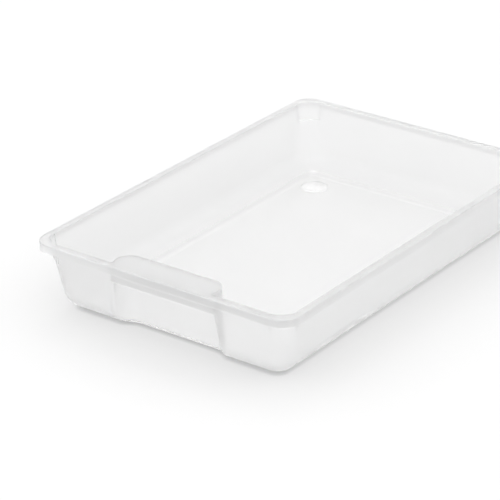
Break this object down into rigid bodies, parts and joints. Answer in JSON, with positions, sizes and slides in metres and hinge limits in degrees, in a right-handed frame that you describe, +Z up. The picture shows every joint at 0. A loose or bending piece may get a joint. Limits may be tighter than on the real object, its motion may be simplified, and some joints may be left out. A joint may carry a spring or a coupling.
{
  "type": "drawer organizer insert",
  "caption": "Clear open tray with leaning walls, turned-down rim, round-ended finger pull in the front wall, stepped stacking corners and round foot pads.",
  "frame": {"origin": "on the surface that the tray stands on, under the centre of the tray", "axes": "+Z up out of the tray, +Y along its long side toward the rear, the finger pull at -Y, +X to the right"},
  "size_m": [0.254, 0.388, 0.0625],
  "materials": {
    "clear_plastic": "clear, glossy moulded polystyrene",
    "pad_elastomer": "translucent soft non-slip elastomer"
  },
  "bodies": {
    "root": {"tray": "clear_plastic", "foot_pad_front_left": "pad_elastomer", "foot_pad_front_right": "pad_elastomer", "foot_pad_rear_left": "pad_elastomer", "foot_pad_rear_right": "pad_elastomer"}
  },
  "joints": []
}
